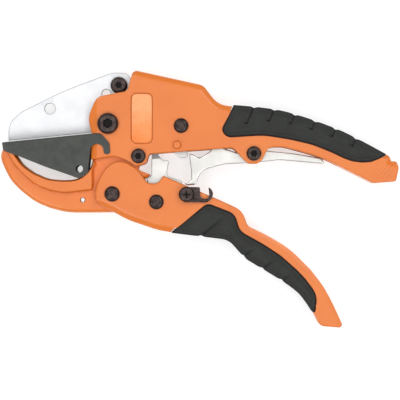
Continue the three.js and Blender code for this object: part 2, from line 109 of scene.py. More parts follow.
def section(node, level):
    """Closed outlines where a level plane cuts a CAD node, the largest first.
    Every triangle that crosses the plane leaves a straight bit between its falling and its rising
    side, and bits are chained end to start. Outer outlines run counter-clockwise, and holes
    clockwise."""
    points, triangles = cad_arrays(node)
    corner = points[triangles]
    above = corner[:, :, 2] - level
    crossing = (above.min(1) < 0) & (above.max(1) >= 0)
    corner, above = corner[crossing], above[crossing]
    start, end = np.zeros((len(corner), 2)), np.zeros((len(corner), 2))
    for k in range(3):
        n = (k + 1) % 3
        share = above[:, k] / np.where(above[:, k] == above[:, n], 1, above[:, k] - above[:, n])
        hit = corner[:, k, :2] + share[:, None] * (corner[:, n, :2] - corner[:, k, :2])
        falls = (above[:, k] >= 0) & (above[:, n] < 0)
        rises = (above[:, k] < 0) & (above[:, n] >= 0)
        start[falls] = hit[falls]
        end[rises] = hit[rises]
    apart = np.hypot(end[:, None, 0] - start[None, :, 0], end[:, None, 1] - start[None, :, 1])
    following = apart.argmin(1)
    unused, loops = set(range(len(start))), []
    while unused:
        i = unused.pop()
        chain = [i]
        while (i := int(following[i])) in unused:
            unused.discard(i)
            chain.append(i)
        loops.append(without_straights(start[chain]))
    loops = [loop for loop in loops if len(loop) > 2 and abs(area(loop)) > 0.5]
    return sorted(loops, key=lambda loop: -abs(area(loop)))


def area(loop):
    """Signed area inside an outline, positive where it runs counter-clockwise."""
    x, y = loop.T
    return 0.5 * float(np.sum(x * np.roll(y, -1) - y * np.roll(x, -1)))


def without_straights(loop):
    """The outline without doubled points and without points where it doesn't turn."""
    for _ in range(2):
        loop = loop[np.hypot(*(loop - np.roll(loop, 1, 0)).T) > 0.02]
        before = loop - np.roll(loop, 1, 0)
        after = np.roll(loop, -1, 0) - loop
        turn = before[:, 0] * after[:, 1] - before[:, 1] * after[:, 0]
        loop = loop[np.abs(turn) > 0.004 * np.hypot(*before.T) * np.hypot(*after.T)]
    return loop


def drawn_smooth(loop, step=EDGE_STEP):
    """The outline with its round stretches restored, and a point about every step.
    Each side is a cubic between its two ends. At a sharp corner the cubic leaves along the side itself.
    Where a straight meets a round it leaves along the straight, which is the much longer of the two, and
    elsewhere along the mean of both sides."""
    side = np.roll(loop, -1, 0) - loop
    length = np.hypot(*side.T)
    ahead = side / length[:, None]
    behind, length_behind = np.roll(ahead, 1, 0), np.roll(length, 1)
    mean = ahead + behind
    mean /= np.maximum(np.hypot(*mean.T), 1e-6)[:, None]
    tangent = np.where((length_behind > 1.8 * length)[:, None], behind, mean)
    tangent = np.where((length > 1.8 * length_behind)[:, None], ahead, tangent)
    sharp = (np.arccos(np.clip((ahead * behind).sum(1), -1, 1)) > SHARP_TURN)[:, None]
    leave = np.where(sharp, ahead, tangent) * length[:, None]
    arrive = np.roll(np.where(sharp, behind, tangent), -1, 0) * length[:, None]
    count = np.maximum(1, np.round(length / step)).astype(int)
    owner = np.repeat(np.arange(len(loop)), count)
    t = ((np.arange(len(owner)) - np.repeat(np.cumsum(count) - count, count)) / count[owner])[:, None]
    here, there = loop[owner], np.roll(loop, -1, 0)[owner]
    return (
        here * (2 * t**3 - 3 * t**2 + 1)
        + leave[owner] * (t**3 - 2 * t**2 + t)
        + there * (3 * t**2 - 2 * t**3)
        + arrive[owner] * (t**3 - t**2)
    )


def inward(loop):
    """Direction into the material at each point of an outline, lengthened at corners so that an outline
    moved along it stays the same distance from both sides."""
    before = loop - np.roll(loop, 1, 0)
    after = np.roll(loop, -1, 0) - loop
    before /= np.maximum(np.hypot(*before.T), 1e-9)[:, None]
    after /= np.maximum(np.hypot(*after.T), 1e-9)[:, None]
    normal = np.stack([-(before + after)[:, 1], (before + after)[:, 0]], 1)
    size = np.maximum(np.hypot(*normal.T), 1e-6)
    return normal / size[:, None] / np.maximum(size / 2, 0.5)[:, None]


def offset(loop, distance):
    """The outline moved into the material by a distance."""
    return loop + inward(loop) * distance


def side_ends(loops):
    """Both ends of every side of the outlines."""
    return np.vstack(loops), np.vstack([np.roll(loop, -1, 0) for loop in loops])


def in_parts(points, sides):
    """The points in parts, so small that a table of points by sides fits into memory."""
    return np.array_split(points, 1 + len(points) * len(sides) // 3_000_000)


def nearest(points, loops, used=slice(None)):
    """Distance from each point to the nearest side of the outlines, and that side's outward direction.
    Sides left out of the used ones don't count."""
    a, b = (ends[used] for ends in side_ends(loops))
    side = b - a
    square = np.maximum((side**2).sum(1), 1e-12)
    away, owner = [], []
    for part in in_parts(points, a):
        x, y = part[:, None, 0] - a[None, :, 0], part[:, None, 1] - a[None, :, 1]
        share = np.clip((x * side[:, 0] + y * side[:, 1]) / square, 0, 1)
        gap = (x - share * side[:, 0]) ** 2 + (y - share * side[:, 1]) ** 2
        pick = gap.argmin(1)
        away.append(np.sqrt(gap[np.arange(len(part)), pick]))
        owner.append(pick)
    away, owner = np.concatenate(away), np.concatenate(owner)
    outward = np.stack([side[owner, 1], -side[owner, 0]], 1) / np.sqrt(square[owner])[:, None]
    return away, outward


def inside(points, loops):
    """True where a point is inside the outlines, by counting the sides that a ray to +X crosses."""
    a, b = side_ends(loops)
    rise = np.where(b[:, 1] == a[:, 1], 1e-9, b[:, 1] - a[:, 1])
    found = []
    for part in in_parts(points, a):
        x, y = part[:, None, 0], part[:, None, 1]
        spans = (a[None, :, 1] > y) != (b[None, :, 1] > y)
        left = x < a[None, :, 0] + (y - a[None, :, 1]) / rise * (b[:, 0] - a[:, 0])
        found.append((spans & left).sum(1) % 2 == 1)
    return np.concatenate(found)


# ---------------------------------------------------------------- shapes of edges and marks

def smoothstep(x, low, high):
    """0 below low, 1 above high, and a smooth ramp between them."""
    t = np.clip((x - low) / (high - low), 0, 1)
    return t * t * (3 - 2 * t)


def rounded_edge(distance, radius):
    """Depth of a quarter-round edge: radius at the outline, nothing once a radius away from it."""
    t = np.clip(1 - distance / radius, 0, 1)
    return radius * (1 - np.sqrt(1 - t * t))


def chamfer(distance, width, depth):
    """Depth of a flat slope from the outline to a width away, with its inner end eased."""
    t = np.clip(1 - distance / width, 0, 1)
    return depth * (t - 0.08 * (1 - np.exp(-t / 0.08)))


def segment_distance(points, a, b):
    """Distance from each point to the straight between a and b, and the share of the way along it."""
    side = np.asarray(b) - np.asarray(a)
    share = np.clip(((points - a) @ side) / (side @ side), 0, 1)
    return np.hypot(*(points - a - share[:, None] * side).T), share


def groove(points, a, b, width, depth):
    """Depth of a round-bottomed groove from a to b that runs out towards b."""
    away, share = segment_distance(points, a, b)
    return depth * np.exp(-((away / (width / 2)) ** 2)) * (1 - 0.55 * share)


def rounded_box_distance(points, low, high, radius):
    """Signed distance to a rectangle with round corners, negative inside it."""
    middle, half = (low + high) / 2, (high - low) / 2 - radius
    q = np.abs(points - middle) - half
    return np.hypot(*np.maximum(q, 0).T) + np.minimum(q.max(1), 0) - radius


# ---------------------------------------------------------------- meshes

def linked(name, data):
    """A new object in the scene that holds a mesh, light or camera."""
    made = bpy.data.objects.new(name, data)
    bpy.context.scene.collection.objects.link(made)
    return made


def new_piece(name, points, faces, material, smooth_angle=SMOOTH_ANGLE):
    """A Blender object at the origin from points in millimetres and faces as rows of point numbers."""
    mesh = bpy.data.meshes.new(name)
    mesh.from_pydata((np.asarray(points) * MM).tolist(), [], [list(f) for f in faces])
    mesh.validate()
    piece = linked(name, mesh)
    finish_mesh(piece, material, smooth_angle)
    return piece


def finish_mesh(piece, material, smooth_angle):
    """One material, and smooth shading except over edges sharper than the angle."""
    mesh = piece.data
    mesh.materials.clear()
    mesh.materials.append(material)
    mesh.shade_smooth()
    mesh.set_sharp_from_angle(angle=math.radians(smooth_angle))


def field_points(loops, rings, marks, step):
    """Points for the flat pattern of a face, the outlines' own first: rings at given distances inside
    the outlines, the marks' curves, and an even staggered grid clear of all of these."""
    border = np.vstack(loops)
    ringed = np.vstack([offset(loop, distance) for distance in rings for loop in loops])
    asked = np.repeat(rings, len(border))
    good = inside(ringed, loops)
    ringed, asked = ringed[good], asked[good]
    away, _ = nearest(ringed, loops)
    kept = [border, ringed[away > asked * 0.985 - 0.004]]
    for mark in marks:
        mark = mark[inside(mark, loops)]
        away, _ = nearest(mark, loops)
        kept.append(mark[away > 0.25])
    fixed = np.vstack(kept)
    low, high = border.min(0), border.max(0)
    columns = np.arange(low[0], high[0], step)
    rows = np.arange(low[1], high[1], step * 0.866)
    x, y = np.meshgrid(columns, rows)
    x = x + (np.arange(len(rows)) % 2)[:, None] * step / 2
    grid = np.stack([x.ravel(), y.ravel()], 1)
    grid = grid[~taken(grid, fixed, step * 0.62, low, high)]
    grid = grid[inside(grid, loops)]
    away, _ = nearest(grid, loops)
    grid = grid[away > min(max(rings) + step * 0.4, step)]
    return np.vstack([thinned(fixed, len(border)), grid])


def taken(points, others, size, low, high):
    """True where a point lies within about a size of one of the others, by square cells."""
    shape = np.ceil((high - low) / size).astype(int) + 5
    used = np.zeros(shape, bool)
    cell = np.clip(((others - low) / size).astype(int) + 2, 1, shape - 2)
    for dx in (-1, 0, 1):
        for dy in (-1, 0, 1):
            used[cell[:, 0] + dx, cell[:, 1] + dy] = True
    own = np.clip(((points - low) / size).astype(int) + 2, 0, shape - 1)
    return used[own[:, 0], own[:, 1]]


def thinned(points, keep):
    """The points without those in the same tiny cell as an earlier one, but with all of the first ones,
    of which keep says how many."""
    size = 0.05
    cell = np.round(points / size).astype(np.int64)
    key = cell[:, 0] * 4_000_003 + cell[:, 1]
    _, first = np.unique(key, return_index=True)
    mask = np.zeros(len(points), bool)
    mask[first] = True
    mask[:keep] = True
    return points[mask]


def slab(name, loops, low, high, near, far, material, rings, marks=(), step=FACE_STEP, wall=None,
         smooth_angle=SMOOTH_ANGLE):
    """A closed piece between two worked faces.
    One flat pattern of triangles fills the outlines. The near face is that pattern at high minus
    near(points, distance, outward), and the far face is it at low plus far(...). Walls of quads join
    the two along every outline. wall(share) is how far the wall's points at a share of its height
    are moved inwards."""
    flat = field_points(loops, rings, marks, step)
    borders, sides, first = [], [], 0
    for loop in loops:
        index = np.arange(first, first + len(loop))
        borders.append(index)
        sides.append(np.stack([index, np.roll(index, -1)], 1))
        first += len(loop)
    made = delaunay_2d_cdt([Vector(p) for p in flat], np.vstack(sides).tolist(), [], 1, 1e-7)
    corners, triangles = np.array([tuple(p) for p in made[0]]), np.array(made[2])
    for hole in borders[1:]:
        on_hole = (triangles >= hole[0]) & (triangles <= hole[-1])
        triangles = triangles[~on_hole.all(1)]
    turn = np.cross(corners[triangles[:, 1]] - corners[triangles[:, 0]],
                    corners[triangles[:, 2]] - corners[triangles[:, 0]])
    triangles[turn < 0] = triangles[turn < 0][:, ::-1]
    distance, outward = nearest(corners, loops)
    distance[:first] = 0
    top = high - near(corners, distance, outward)
    bottom = low + far(corners, distance, outward)
    points = [np.column_stack([corners, top]), np.column_stack([corners, bottom])]
    count = len(corners)
    faces = triangles.tolist() + (triangles[:, ::-1] + count).tolist()
    total = 2 * count
    for loop, index in zip(loops, borders):
        ring = [index]
        for share in WALL_LEVELS if wall else ():
            moved = loop + inward(loop) * wall(share)
            level = top[index] + (bottom[index] - top[index]) * share
            points.append(np.column_stack([moved, level]))
            ring.append(np.arange(total, total + len(loop)))
            total += len(loop)
        ring.append(index + count)
        for upper, lower in zip(ring[:-1], ring[1:]):
            quads = np.stack([upper, lower, np.roll(lower, -1), np.roll(upper, -1)], 1)
            faces += quads.tolist()
    return new_piece(name, np.vstack(points), faces, material, smooth_angle)


def cad_copy(node, outlines):
    """A merged copy of a CAD node, to cut with. Its points on the given outlines are moved outwards, so
    that it cuts cavities and holes but leaves the refined outer walls alone."""
    points, triangles = cad_arrays(node)
    unique, index = np.unique(np.round(points, 3), axis=0, return_inverse=True)
    faces = index.reshape(-1)[triangles]
    good = (faces[:, 0] != faces[:, 1]) & (faces[:, 1] != faces[:, 2]) & (faces[:, 0] != faces[:, 2])
    for outline in outlines:
        away, outward = nearest(unique[:, :2], [outline])
        rim = away < 0.02
        corner, pull = nearest_corner(unique[:, :2], outline)
        unique[rim, :2] += np.where((corner < 0.02)[:, None], pull, outward)[rim] * CUT_SPREAD
    mesh = bpy.data.meshes.new("cutter")
    mesh.from_pydata((unique * MM).tolist(), [], faces[good].tolist())
    return linked("cutter", mesh)


def nearest_corner(points, loop):
    """Distance from each point to the nearest corner of an outline, and that corner's outward pull."""
    apart = np.hypot(points[:, None, 0] - loop[None, :, 0], points[:, None, 1] - loop[None, :, 1])
    return apart.min(1), -inward(loop)[apart.argmin(1)]


def within(piece, node, outlines, smooth_angle=SMOOTH_ANGLE):
    """The piece cut by a CAD node, which gives it that node's cavities and holes."""
    material = piece.data.materials[0]
    cutter = cad_copy(node, outlines)
    modifier = piece.modifiers.new("cut", "BOOLEAN")
    modifier.operation = "INTERSECT"
    modifier.solver = "MANIFOLD"
    modifier.object = cutter
    bpy.context.view_layer.update()
    graph = bpy.context.evaluated_depsgraph_get()
    mesh = bpy.data.meshes.new_from_object(piece.evaluated_get(graph))
    piece.modifiers.clear()
    old, piece.data = piece.data, mesh
    mesh.name = piece.name
    bpy.data.meshes.remove(old)
    bpy.data.objects.remove(cutter)
    finish_mesh(piece, material, smooth_angle)
    return piece


def tube_faces(index):
    """Quads that join each row of point numbers, a ring, to the next one."""
    a, b = index[:-1], index[1:]
    return np.stack([a, np.roll(a, -1, 1), np.roll(b, -1, 1), b], 2).reshape(-1, 4).tolist()


def facing_out(piece):
    """The piece with its faces turned over if the volume inside them comes out negative."""
    corner = mesh_points(piece.data)[mesh_triangles(piece.data)]
    volume = np.einsum("ij,ij->i", corner[:, 0], np.cross(corner[:, 1], corner[:, 2])).sum() / 6
    if volume < 0:
        piece.data.flip_normals()
    return piece


def place(piece, body, slot, *nodes):
    """The piece rides on a body and stands for CAD nodes, which are hidden. The slot is not used."""
    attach(piece, body)
    if nodes:
        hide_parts(*nodes)
    return piece


# ---------------------------------------------------------------- materials

def srgb(r, g, b):
    """A colour given as 0 to 255 on screen, as the linear colour that a shader takes."""
    c = np.array([r, g, b]) / 255
    linear = np.where(c <= 0.04045, c / 12.92, ((c + 0.055) / 1.055) ** 2.4)
    return (*linear.tolist(), 1.0)


class Finish:
    """A node material under construction. Patterns read Object coordinates in metres."""

    def __init__(self, name, **sockets):
        self.material = bpy.data.materials.new(name)
        self.material.use_nodes = True
        self.nodes = self.material.node_tree.nodes
        self.links = self.material.node_tree.links
        self.shader = self.nodes["Principled BSDF"]
        for socket, value in sockets.items():
            self.shader.inputs[socket.replace("_", " ")].default_value = value
        self.coordinates = self.nodes.new("ShaderNodeTexCoord").outputs["Object"]

    def node(self, kind, inputs, **settings):
        """A node with its settings, and each of its inputs either linked or set to a value."""
        made = self.nodes.new(kind)
        for key, value in settings.items():
            setattr(made, key, value)
        for key, value in inputs.items():
            socket = made.inputs[key]
            if isinstance(value, bpy.types.NodeSocket):
                self.links.new(value, socket)
            else:
                socket.default_value = value
        return made

    def stretched(self, scale, turn=0.0):
        """Object coordinates turned about Z, then stretched."""
        turned = self.node("ShaderNodeMapping", {"Vector": self.coordinates, "Rotation": (0, 0, turn)})
        return self.node("ShaderNodeMapping", {"Vector": turned.outputs[0], "Scale": scale}).outputs[0]

    def noise(self, grain_mm, detail=3.0, roughness=0.5, vector=None):
        """Noise whose features are about this many millimetres across."""
        return self.node("ShaderNodeTexNoise", {
            "Vector": vector or self.coordinates, "Scale": 1 / (grain_mm * MM),
            "Detail": detail, "Roughness": roughness,
        }).outputs["Fac"]

    def ramp(self, value, low, high, start=0.0, end=1.0):
        """A value carried from low..high to start..end, held at the ends."""
        return self.node("ShaderNodeMapRange", {
            "Value": value, "From Min": low, "From Max": high, "To Min": start, "To Max": end,
        }).outputs["Result"]

    def mix_colour(self, factor, first, second):
        inputs = {0: factor, 6: first, 7: second}
        return self.node("ShaderNodeMix", inputs, data_type="RGBA").outputs[2]

    def product(self, first, second):
        return self.node("ShaderNodeMath", {0: first, 1: second}, operation="MULTIPLY").outputs[0]

    def sum(self, first, second):
        return self.node("ShaderNodeMath", {0: first, 1: second}, operation="ADD").outputs[0]

    def attribute(self, name):
        return self.node("ShaderNodeAttribute", {}, attribute_name=name).outputs["Fac"]

    def colour(self, socket):
        self.links.new(socket, self.shader.inputs["Base Color"])

    def roughness(self, socket):
        self.links.new(socket, self.shader.inputs["Roughness"])

    def uneven_roughness(self, low, high, *noise):
        """Roughness that wanders from low to high with a noise."""
        self.roughness(self.ramp(self.noise(*noise), 0.3, 0.7, low, high))

    def bumps(self, *layers):
        """Bump layers of (height, depth in millimetres), one on top of another."""
        normal = None
        for height, depth in layers:
            inputs = {"Height": height, "Distance": depth * MM, "Strength": 1.0}
            made = self.node("ShaderNodeBump", inputs)
            if normal is not None:
                self.links.new(normal, made.inputs["Normal"])
            normal = made.outputs["Normal"]
        self.links.new(normal, self.shader.inputs["Normal"])


def orange_paint():
    """Satin powder coat over a casting: fine orange peel, cloudy tone, thinner on worn edges."""
    f = Finish("orange_powder_coat", Metallic=0.0, Coat_Weight=0.5, Coat_Roughness=0.22)
    cloud = f.ramp(f.noise(24, 2), 0.35, 0.65)
    speck = f.ramp(f.noise(0.55, 2, 0.6), 0.4, 0.7)
    body = f.mix_colour(cloud, srgb(221, 116, 26), srgb(216, 110, 20))
    peppered = f.mix_colour(f.product(speck, 0.16), body, srgb(196, 92, 14))
    worn = f.product(f.attribute("edge_wear_and_shade"), f.ramp(f.noise(1.8, 4, 0.7), 0.42, 0.62))
    f.colour(f.mix_colour(f.product(worn, 0.45), peppered, srgb(240, 150, 74)))
    f.uneven_roughness(0.40, 0.54, 1.4, 3, 0.6)
    f.bumps((f.noise(0.75, 2, 0.5), 0.03), (f.noise(7, 3), 0.12))
    return f.material


def black_rubber():
    """Moulded soft grip: fine matt texture, dusty in its open fields, and painted blue-black shade at its
    rims and in its grooves.
    """
    f = Finish("charcoal_rubber", Metallic=0.0, Specular_IOR_Level=0.38)
    cloud = f.ramp(f.noise(9, 3), 0.35, 0.65)
    field = f.mix_colour(cloud, srgb(38, 40, 36), srgb(31, 33, 30))
    dust = f.ramp(f.noise(0.35, 2, 0.7), 0.5, 0.75)
    dusty = f.mix_colour(f.product(dust, 0.4), field, srgb(66, 68, 65))
    # painted shade: the rims and the grooves turn blue-black
    f.colour(f.mix_colour(f.attribute("edge_wear_and_shade"), dusty, srgb(22, 23, 30)))
    f.uneven_roughness(0.62, 0.80, 0.6, 2)
    f.bumps((f.noise(0.32, 2, 0.6), 0.05), (f.noise(2.6, 2), 0.06))
    return f.material


def steel(name, bright, dark, grain, roughness, turn):
    """Worked steel: long fine lines along one direction, cloudy tone, a few short marks across them,
    and rims painted a darker grey, partly for duller sheared edges and partly as painted shade that
    outlines the piece."""
    f = Finish(name, Metallic=1.0)
    lines = f.noise(0.16, 3, 0.65, f.stretched((1 / grain, 1.0, 1.0), turn))
    cloud = f.ramp(f.noise(13, 3), 0.35, 0.65)
    tone = f.mix_colour(cloud, bright, dark)
    scratch = f.ramp(f.noise(0.5, 2, 0.5, f.stretched((0.02, 1.6, 1.0), turn + 0.7)), 0.66, 0.72)
    marked = f.mix_colour(f.product(scratch, 0.25), tone, dark)
    # painted shade: the rims darken to grey, which also stands for duller sheared edges
    rim = f.ramp(f.attribute("edge_wear_and_shade"), 0.3, 0.8, 0.0, 0.75)
    f.colour(f.mix_colour(rim, marked, srgb(128, 129, 131)))
    f.roughness(f.ramp(lines, 0.25, 0.75, roughness[0], roughness[1]))
    f.bumps((lines, 0.006))
    return f.material


def black_oxide():
    """Blackened steel: brown-black tone with bare, paler spots and a fine grain, and painted shade that
    makes the sockets near black.
    """
    f = Finish("black_oxide", Metallic=0.85)
    cloud = f.ramp(f.noise(2.2, 4, 0.6), 0.38, 0.66)
    body = f.mix_colour(cloud, srgb(54, 47, 46), srgb(78, 66, 63))
    spots = f.ramp(f.noise(0.5, 3, 0.7), 0.62, 0.72)
    spotted = f.mix_colour(f.product(spots, 0.35), body, srgb(128, 116, 112))
    # painted shade: near black inside the sockets
    f.colour(f.mix_colour(f.attribute("hollow"), spotted, srgb(22, 19, 19)))
    f.uneven_roughness(0.30, 0.48, 1.1, 3, 0.6)
    f.bumps((f.noise(0.4, 2, 0.6), 0.02))
    return f.material


def phosphated_sheet():
    """Dark phosphated sheet steel: grey-green black, finely mottled, a little paler where rubbed."""
    f = Finish("phosphated_sheet", Metallic=0.35, Specular_IOR_Level=0.45)
    cloud = f.ramp(f.noise(6, 4, 0.6), 0.35, 0.65)
    body = f.mix_colour(cloud, srgb(68, 70, 66), srgb(58, 60, 57))
    rubbed = f.product(f.attribute("edge_wear_and_shade"), f.ramp(f.noise(1.5, 3, 0.7), 0.4, 0.65))
    f.colour(f.mix_colour(f.product(rubbed, 0.5), body, srgb(104, 106, 104)))
    f.uneven_roughness(0.46, 0.62, 0.9, 3, 0.6)
    f.bumps((f.noise(0.3, 2, 0.6), 0.012))
    return f.material


def label_resin():
    """Domed resin badge without any marking: glossy, with a painted sheen that makes it paler towards its
    upper end and more saturated towards its lower end.
    """
    f = Finish("label_resin", Metallic=0.0, Coat_Weight=0.35, Coat_Roughness=0.1)
    low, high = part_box("label_plate")
    # painted sheen: the colour pales from the lower end upwards, with a little noise
    upright = f.node("ShaderNodeSeparateXYZ", {"Vector": f.coordinates}).outputs["Y"]
    height = f.ramp(upright, low.y, low.y + 0.7 * (high.y - low.y))
    painted_sheen = f.sum(height, f.ramp(f.noise(6, 2), 0.3, 0.7, -0.2, 0.2))
    f.colour(f.mix_colour(painted_sheen, srgb(236, 122, 30), srgb(241, 158, 98)))
    f.uneven_roughness(0.22, 0.34, 1.2, 2)
    f.bumps((f.noise(4, 2), 0.02))
    return f.material


def studio_floor():
    """Pale translucent sheet lit from behind, which keeps the shadows on it light."""
    f = Finish("light_table", Metallic=0.0, Specular_IOR_Level=0.1, Emission_Strength=0.6,
               Emission_Color=(1, 1, 1, 1))
    f.colour(f.mix_colour(f.noise(60, 2), (0.50, 0.50, 0.50, 1), (0.53, 0.53, 0.53, 1)))
    f.uneven_roughness(0.85, 0.95, 8, 2)
    return f.material


PAINT = orange_paint()
RUBBER = black_rubber()
OXIDE = black_oxide()
SHEET = phosphated_sheet()
LABEL = label_resin()
BLADE = steel("blade_steel", srgb(224, 225, 227), srgb(216, 217, 219), 30, (0.52, 0.66), 0.25)
LEVER = steel("lever_steel", srgb(211, 210, 206), srgb(197, 196, 192), 12, (0.30, 0.44), -0.15)
PLAIN = steel("plain_steel", srgb(176, 177, 178), srgb(150, 151, 152), 20, (0.32, 0.46), 0.9)


def mark_edges(piece, loops, width, also=None):
    """Gives the piece an attribute that is 1 on its rim and fades over a width away from the outlines.
    also(points) is a second mark, and the stronger of the two counts. The paint and the sheet show it as
    wear, and the rubber and the steel show it as painted shade."""
    flat = mesh_points(piece.data)[:, :2]
    away, _ = nearest(flat, loops)
    value = np.clip(1 - away / width, 0, 1)
    if also is not None:
        value = np.clip(np.maximum(value, also(flat)), 0, 1)
    store(piece, "edge_wear_and_shade", value)


def store(piece, name, values):
    """Gives the piece a named attribute with one value for each of its points."""
    attribute = piece.data.attributes.new(name, "FLOAT", "POINT")
    attribute.data.foreach_set("value", values.astype(np.float32))


# ---------------------------------------------------------------- castings

QUARTER = 1 - np.cos(np.linspace(0, math.pi / 2, 6))[1:]      # ring distances of a unit round edge
BOSS = at(44.9, -13.9)
BOSS_PROFILE = (                                # radius, and level above the housing
    (0, -0.2), (2.9, -0.2), (2.75, 0.1), (2.4, 0.35), (2.3, 0.8),
    (2.3, 2.5), (2.2, 2.9), (1.9, 3.12), (1.2, 3.18), (0, 3.2),
)
LINES = 3                                       # shallow grooves across the end of the upper handle
LINE_START = at(179, -31)
LINE_PITCH = np.array([2.9, 0])
LINE_ALONG = np.array([0.6, 0.8])
LINE_ACROSS = np.array([0.8, -0.6])


def open_sides(outline, grip_node):
    """True for the sides of an outline that are neither under a grip nor along its seat."""
    reach = 0.7
    grip_outline = offset(section(grip_node, GRIP_LEVEL)[0], -reach)
    return ~inside((outline + np.roll(outline, -1, 0)) / 2, [grip_outline])


def ring_set(radius, *more):
    """Ring distances for a round edge of this radius, with more distances beyond it."""
    return [radius * share for share in QUARTER] + list(more)


def parting_seam(share):
    """A casting's wall: a hairline step at mid height."""
    return 0.16 * math.exp(-(((share - 0.5) / 0.035) ** 2))


def housing():
    """Upper body: flat cheeks with a planar nose, a broad bevel along the back and a recess for the
    badge, cut hollow by the CAD's cavity. The round boss is a piece of its own."""
    waist = section("upper_body", CHEEK_LEVEL)[0]
    outline = offset(drawn_smooth(waist), INSET)
    low, high = (np.array(v)[:2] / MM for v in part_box("label_plate"))
    low, high = low - 0.5, high + 0.5
    recess_corner, recess_depth = 3.9, 1.24
    edge, soft_edge = 1.1, 0.9
    nose_line, nose_slope = PIVOT[0] - 7.1, 0.42
    bare = open_sides(outline, "upper_grip")

    def shell(p, softened):
        distance, outward = nearest(p, [outline], bare)
        start = smoothstep(p[:, 0], PIVOT[0] + 10, PIVOT[0] + 17)
        back = smoothstep(outward[:, 1], 0.25, 0.6) * start
        bevel = back * (chamfer(distance, 3.6, 2.2) + softened * rounded_edge(distance, soft_edge))
        nose = np.clip(nose_line - p[:, 0], 0, None) * nose_slope
        nose = nose + rounded_edge(distance, soft_edge) * (nose > 0)
        return np.maximum(np.maximum(rounded_edge(distance, edge), bevel), nose)

    def near(p, *_):
        recess = -rounded_box_distance(p, low, high, recess_corner)
        depth = np.maximum(shell(p, 1), recess_depth * smoothstep(recess, -0.35, 0.5))
        reach = (p - LINE_START) @ LINE_ALONG
        ends = smoothstep(reach, -6, -4) * (1 - smoothstep(reach, 7, 9))
        for k in range(LINES):
            line = (p - LINE_START - LINE_PITCH * k) @ LINE_ACROSS
            depth = depth + 0.35 * np.exp(-((line / 0.42) ** 2)) * ends
        return depth

    def far(p, *_):
        return shell(p, 0)

    marks = []
    for grow in (-0.7, -0.45, -0.2, 0.05, 0.3, 0.6, 1.0):
        marks.append(rounded_rectangle(low - grow, high + grow, recess_corner + grow))
    nose_y = np.arange(PIVOT[1] - 26, PIVOT[1] + 22, 0.8)
    for shift in (-0.15, 0.15):
        marks.append(np.stack([np.full(len(nose_y), nose_line + shift), nose_y], 1))
    run = LINE_START + np.arange(-8, 10, 0.7)[:, None] * LINE_ALONG
    for k in range(LINES):
        marks += [run + LINE_PITCH * k + LINE_ACROSS * shift for shift in (-0.7, -0.35, 0, 0.35, 0.7)]
    piece = slab("housing_casting", [outline], BODY_LOW, BODY_TOP, near, far, PAINT,
                 rings=ring_set(edge, 1.6, 2.3, 3.1, 4.1, 4.6), marks=marks, wall=parting_seam)
    piece = within(piece, "upper_body", [waist])
    mark_edges(piece, [outline], 1.0)
    place(piece, "frame", "orange_casting", "upper_body")
    profile = [(radius, BODY_TOP + level) for radius, level in BOSS_PROFILE]
    place(turned_piece("latch_boss", BOSS, PAINT, profile), "frame", "orange_casting")


def rounded_rectangle(low, high, radius):
    """Points round a rectangle with round corners, found by walking rays from its middle out."""
    middle, spacing = (low + high) / 2, 0.6
    count = int((high - low).sum() * 2 / spacing)
    angle = np.linspace(0, 2 * math.pi, count, endpoint=False)
    ray = np.stack([np.cos(angle), np.sin(angle)], 1)
    reach = np.full(count, 200.0)
    for _ in range(60):
        away = rounded_box_distance(middle + ray * reach[:, None], low, high, radius)
        reach = reach - away * 0.9
    return middle + ray * reach[:, None]


def jaw():
    """Lower jaw: a raised pad round the pipe seat, and a lower band outside it that rolls over at its
    outer edge."""
    web = section("lower_jaw", MIDDLE + 5)[0]
    pad = section("lower_jaw", MIDDLE + 8)[0]
    outline = offset(drawn_smooth(web), INSET)
    pad_line = offset(drawn_smooth(pad), 0.05)
    step_height = BODY_TOP - (MIDDLE + 6)
    edge, roll = 0.8, 3.0

    def face(p, distance, outward):
        pad_distance, _ = nearest(p, [pad_line])
        into = np.where(inside(p, [pad_line]), pad_distance, -pad_distance)
        up = smoothstep(into, 0.1, 1.3)
        fillet = 0.35 * np.exp(-(into / 0.9) ** 2) * (into < 0)
        seat_side = smoothstep(outward[:, 1], -0.2, 0.2)
        pad_rim = rounded_edge(distance, edge)
        band_rim = rounded_edge(distance, roll) * (1 - seat_side) + pad_rim * seat_side
        band = step_height + np.where(up > 0.5, 0, band_rim - fillet * 0.5)
        return band * (1 - up) + up * pad_rim

    marks = [offset(pad_line, d) for d in (-0.9, -0.4, 0.0, 0.25, 0.5, 0.75, 1.0, 1.3, 1.7)]
    piece = slab("jaw_casting", [outline], BODY_LOW, BODY_TOP, face, face, PAINT,
                 rings=ring_set(edge, 1.1, 1.5, 2.1, roll), marks=marks, wall=parting_seam)
    piece = within(piece, "lower_jaw", [web, pad])
    mark_edges(piece, [outline], 1.0)
    place(piece, "frame", "orange_casting", "lower_jaw")


def handle():
    """Lower handle: hub and arm with a broad bevel along the belly and a narrow one inside."""
    waist = section("lower_handle", CHEEK_LEVEL)[0]
    outline = offset(drawn_smooth(waist), INSET)
    bare = open_sides(outline, "lower_grip")
    edge = 1.2

    def face(p, *_):
        distance, outward = nearest(p, [outline], bare)
        x = p[:, 0] - PIVOT[0]
        belly = smoothstep(-outward[:, 1], 0.45, 0.75) * (1 - smoothstep(x, 60, 66))
        inner = smoothstep(outward[:, 1], 0.3, 0.6) * smoothstep(x, 86, 96)
        depth = rounded_edge(distance, edge)
        depth = np.maximum(depth, belly * (chamfer(distance, 4.2, 2.4) + rounded_edge(distance, 1.0)))
        return np.maximum(depth, inner * chamfer(distance, 2.6, 0.9))

    piece = slab("handle_casting", [outline], HANDLE_LOW, HANDLE_TOP, face, face, PAINT,
                 rings=ring_set(edge, 1.7, 2.6, 3.5, 4.6), wall=parting_seam)
    piece = within(piece, "lower_handle", [waist])
    mark_edges(piece, [outline], 1.0)
    place(piece, "handle_unit", "orange_casting", "lower_handle")


# ---------------------------------------------------------------- grips

